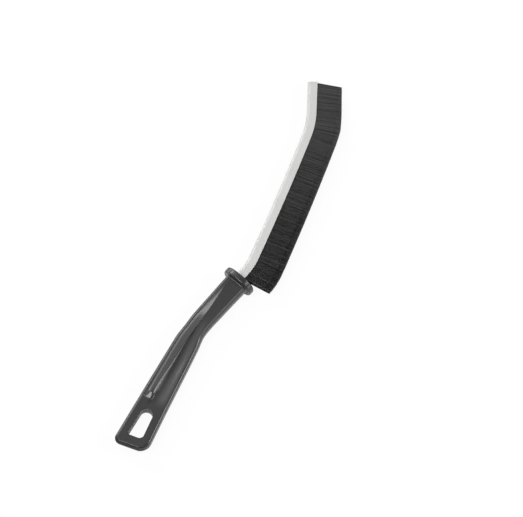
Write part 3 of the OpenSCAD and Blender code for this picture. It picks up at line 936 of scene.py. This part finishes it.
def filament(unit, s, z, lock, rng):
    """Points of one filament, from the template's, rooted at s along and z across the strip."""
    lean = math.radians(bristle_lean(s) + LOCK_LEAN * lock + rng.normal(0, STRAY_LEAN))
    length = ROOT_INSET + bristle_length(s) + rng.uniform(*STRAY_LENGTH)
    bow, bow_z = rng.normal(0, STRAY_BOW), rng.normal(0, STRAY_BOW_ACROSS)
    twist = rng.uniform(0, MOST_TWIST)
    pose = strip_pose(s)
    mouth, root = left_of(pose, ROOT_INSET), left_of(pose, root_depth(z))
    along = (math.sin(lean), -math.cos(lean))
    across = (math.cos(lean), math.sin(lean))
    most = PACK_W / 2 + FAN_PAST
    fan = clamp(z + bow_z + FAN_SHARE * z, -most, most) - z
    c, q = math.cos(twist), math.sin(twist)
    points = []
    for u in unit:
        t = u[2]
        d = mix(FILAMENT_D, FILAMENT_TIP_D, t)
        side, level = (u[0] * c - u[1] * q) * d, (u[0] * q + u[1] * c) * d
        (x, y), w = root, 0
        if t > 0:
            w = (t - MOUTH_SHARE) / (1 - MOUTH_SHARE)
            x, y = (mouth[i] + along[i] * length * w for i in (0, 1))
        side += bow * w * w
        points.append(in_frame(x + across[0] * side, y + across[1] * side,
                               z + fan * w * w + level))
    return points


def make_bristles(material):
    template = filament_template()
    unit = [vert.co.copy() for vert in template.vertices]
    rng = np.random.RandomState(SEED)
    columns = int((BRISTLE_END - BRISTLE_START) / FILAMENT_PITCH)
    rows = int(PACK_W / FILAMENT_PITCH)
    waves = [(rng.uniform(*WAVE_RATES), rng.uniform(0, WAVE_START), rng.uniform(*WAVE_SKEWS))
             for _ in range(WAVES)]
    for part, start, end in zip(PARTS, PART_SHARES, PART_SHARES[1:]):
        bm = bmesh.new()
        placed, tones = [], []
        for column in range(round(columns * start), round(columns * end)):
            for row in range(rows):
                bm.from_mesh(template)
                s = mix(BRISTLE_START, BRISTLE_END, (column + 0.5) / columns)
                s = clamp(s + rng.uniform(-STRAY_ALONG, STRAY_ALONG),
                          BRISTLE_START + FILAMENT_D / 2, BRISTLE_END - FILAMENT_D / 2)
                z = mix(-PACK_W / 2, PACK_W / 2, (row + 0.5) / rows)
                z += rng.uniform(-STRAY_ACROSS, STRAY_ACROSS)
                lock = sum(math.sin(f * s + p + c * z) for f, p, c in waves) / WAVE_DIVISOR
                placed += filament(unit, s, z, lock, rng)
                # Painted sheen: the tone rises from heel to toe for the light that the bent toe
                # catches; locks and strays add their own variation
                tone = mix(HEEL_SHEEN_TONE, TOE_SHEEN_TONE, ease(s / STRIP_L)) + LOCK_TONE * lock
                tones += [clamp(tone + rng.normal(0, STRAY_TONE))] * len(unit)
        for vert, place in zip(bm.verts, placed):
            vert.co = place
        obj = piece("filaments_" + part, bm, material, "bristle_nylon", "bristles_" + part)
        attribute = obj.data.attributes.new("tone", "FLOAT", "POINT")
        attribute.data.foreach_set("value", tones)
    bpy.data.meshes.remove(template)


def finish_wire(material):
    """The core wire is the solid itself, with a finish of its own."""
    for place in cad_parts["core_wire"].material_slots:
        place.material = material


make_handle(handle_plastic())
make_spine(strip_plastic())
make_bristles(bristle_nylon())
finish_wire(wire_steel())

# Studio ----------------------------------------------------------------------------

# Camera: its direction (turn, height), the point that it looks at, and the width that it sees
VIEW = (-62.1, 73.0)
LOOK_AT = Vector((11.465, -5.550, 8.75)) * MM
VIEW_W = 299.3 * MM
# A long lens, and in metres how far the camera sees and how far the floor reaches each way
LENS, SENSOR = 1500.0, 36.0
CLIP_END = 40.0
FLOOR_REACH = 4.0
# Paper level, and a painted shadow past the butt: the lower level that reflections show there,
# between two places in x
PAPER_LEVEL, PAPER_PAINTED_SHADOW = 0.8, 0.12
PAINTED_SHADOW_START, PAINTED_SHADOW_END = -112 * MM, -128 * MM
PAPER_ROUGHNESS, PAPER_SHINE = 0.9, 0.1
# Share of plain white in the floor as the camera sees it
FLOOR_WHITE = 0.92
# Level of the surroundings by height, from the horizon to overhead, and the strength of all
SKY = ((0.0, 1.0), (0.16, 0.9), (0.34, 0.3), (0.55, 0.14), (0.8, 0.085), (1.0, 0.06))
WORLD_LEVEL = 1.6
# Broad soft light: its place (turn, height), reach in degrees and level
SOFT_LIGHT = (150, 50)
SOFT_REACH = 34.0
SOFT_LEVEL = 0.85
# Dark side of the surroundings, past the butt: its place, reach and the level left there
DARK_SIDE = (-90, 8)
DARK_REACH = 75.0
DARK_LEVEL = 0.4
# Lamps: name, place (turn, height), size in metres and power, all at one distance
LAMPS = (
    ("left_panel", (155, 37), (0.55, 0.22), 2.3),
    ("right_panel", (23, 44), (0.4, 0.34), 4.0),
    ("low_left", (160, 9), (1.0, 0.16), 2.6),
    ("low_right", (15, 12), (0.8, 0.2), 1.0),
    ("butt_panel", (-111, 69), (0.4, 0.26), 3.9),
)
LAMP_DISTANCE = 0.9


def directed(az, el):
    """Unit axes right, up and back of something that looks at the brush from az, el."""
    a, e = math.radians(az), math.radians(el)
    right = Vector((math.cos(a), math.sin(a), 0))
    up = Vector((-math.sin(a) * math.sin(e), math.cos(a) * math.sin(e), math.cos(e)))
    back = Vector((math.sin(a) * math.cos(e), -math.cos(a) * math.cos(e), math.sin(e)))
    return right, up, back


def aim(obj, direction, distance):
    """Sets an object at a distance in a direction, looking at the brush."""
    right, up, back = directed(*direction)
    turn = Matrix((right, up, back)).transposed().to_4x4()
    obj.matrix_world = Matrix.Translation(LOOK_AT + back * distance) @ turn


def make_camera():
    data = bpy.data.cameras.new("camera")
    data.lens, data.sensor_width = LENS, SENSOR
    data.clip_end = CLIP_END
    camera = put("camera", data)
    aim(camera, VIEW, VIEW_W * LENS / SENSOR)
    bpy.context.scene.camera = camera


def floor_paper():
    """Pale paper: near white to the camera, with a painted shadow past the butt that only glossy
    rays see.
    """
    material = bpy.data.materials.new("floor_paper")
    material.use_nodes = True
    nodes = Nodes(material.node_tree)
    bsdf = nodes.tree.nodes["Principled BSDF"]
    bsdf.inputs["Roughness"].default_value = PAPER_ROUGHNESS
    bsdf.inputs["Specular IOR Level"].default_value = PAPER_SHINE
    path = nodes.add("LightPath")
    # Painted shadow: glossy rays see the paper darker past the butt, standing in for the shade
    # beside the handle's end
    past = nodes.ranged(nodes.axis(nodes.coords("Object"), "X"), (PAINTED_SHADOW_START, PAINTED_SHADOW_END), 0, 1,
                        soft=True)
    painted_shadow = nodes.math("MULTIPLY", path.outputs["Is Glossy Ray"], past)
    nodes.feed(bsdf.inputs["Base Color"], nodes.ranged(painted_shadow, (0, 1), PAPER_LEVEL, PAPER_PAINTED_SHADOW))
    glow = nodes.add("Emission")
    glow.inputs["Strength"].default_value = 1.0
    blend = nodes.add("MixShader")
    nodes.feed(blend.inputs["Fac"], nodes.math("MULTIPLY", path.outputs["Is Camera Ray"],
                                               FLOOR_WHITE))
    nodes.feed(blend.inputs[1], bsdf.outputs["BSDF"])
    nodes.feed(blend.inputs[2], glow.outputs["Emission"])
    nodes.feed(nodes.tree.nodes["Material Output"].inputs["Surface"], blend.outputs["Shader"])
    return material


def make_floor():
    bm = bmesh.new()
    bmesh.ops.create_grid(bm, x_segments=1, y_segments=1, size=FLOOR_REACH)
    obj = put("floor", to_mesh("floor", bm))
    obj.data.materials.append(floor_paper())


def make_world():
    """Soft surroundings, dark overhead, with a broad soft light on the handle's back side."""
    world = bpy.data.worlds.new("studio")
    bpy.context.scene.world = world
    world.use_nodes = True
    nodes = Nodes(world.node_tree)
    seen = nodes.coords("Generated")

    def toward(place, reach, far, near):
        """Eases from the far to the near level, within a reach of a place in the sky."""
        facing = nodes.vector_math("DOT_PRODUCT", seen, directed(*place)[2])
        return nodes.ranged(facing, (math.cos(math.radians(reach)), 1.0), far, near, soft=True)

    sky = nodes.ramp(nodes.axis(seen, "Z"), [(height, grey(level)) for height, level in SKY])
    lit = nodes.vector_math("ADD", sky, toward(SOFT_LIGHT, SOFT_REACH, 0.0, SOFT_LEVEL))
    dimmed = nodes.vector_math("SCALE", lit, toward(DARK_SIDE, DARK_REACH, 1.0, DARK_LEVEL))
    background = nodes.tree.nodes["Background"]
    nodes.feed(background.inputs["Color"], dimmed)
    background.inputs["Strength"].default_value = WORLD_LEVEL


def make_lamp(name, place, size, power):
    data = bpy.data.lights.new(name, "AREA")
    data.shape = "RECTANGLE"
    data.size, data.size_y = size
    data.energy = power
    aim(put(name, data), place, LAMP_DISTANCE)


make_camera()
make_floor()
make_world()
for lamp in LAMPS:
    make_lamp(*lamp)

bpy.context.scene.view_settings.view_transform = "Standard"
